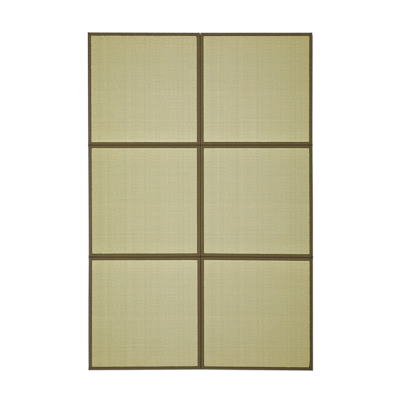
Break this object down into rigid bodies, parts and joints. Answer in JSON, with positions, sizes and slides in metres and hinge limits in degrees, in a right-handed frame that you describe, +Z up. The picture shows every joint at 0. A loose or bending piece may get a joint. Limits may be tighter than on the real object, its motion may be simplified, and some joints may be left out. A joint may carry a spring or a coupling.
{
  "type": "tatami mat",
  "caption": "Flat floor mat of square woven rush panels laid edge to edge in a grid, each bound on all four sides with a strip of plain olive brown cloth.",
  "frame": {"origin": "on the floor, under the middle of the mat", "axes": "+X across the mat's width, +Y along its length, +Z up out of the rush face"},
  "size_m": [1.6446, 2.4685, 0.0216],
  "materials": {
    "rush": "woven rush, satin, ribbed",
    "binding": "plain woven cloth, matt"
  },
  "bodies": {
    "root": {"panel_top_left": "rush", "binding_top_left_south": "binding", "binding_top_left_east": "binding", "binding_top_left_north": "binding", "binding_top_left_west": "binding", "panel_top_right": "rush", "binding_top_right_south": "binding", "binding_top_right_east": "binding", "binding_top_right_north": "binding", "binding_top_right_west": "binding", "panel_middle_left": "rush", "binding_middle_left_south": "binding", "binding_middle_left_east": "binding", "binding_middle_left_north": "binding", "binding_middle_left_west": "binding", "panel_middle_right": "rush", "binding_middle_right_south": "binding", "binding_middle_right_east": "binding", "binding_middle_right_north": "binding", "binding_middle_right_west": "binding", "panel_bottom_left": "rush", "binding_bottom_left_south": "binding", "binding_bottom_left_east": "binding", "binding_bottom_left_north": "binding", "binding_bottom_left_west": "binding", "panel_bottom_right": "rush", "binding_bottom_right_south": "binding", "binding_bottom_right_east": "binding", "binding_bottom_right_north": "binding", "binding_bottom_right_west": "binding"}
  },
  "joints": []
}
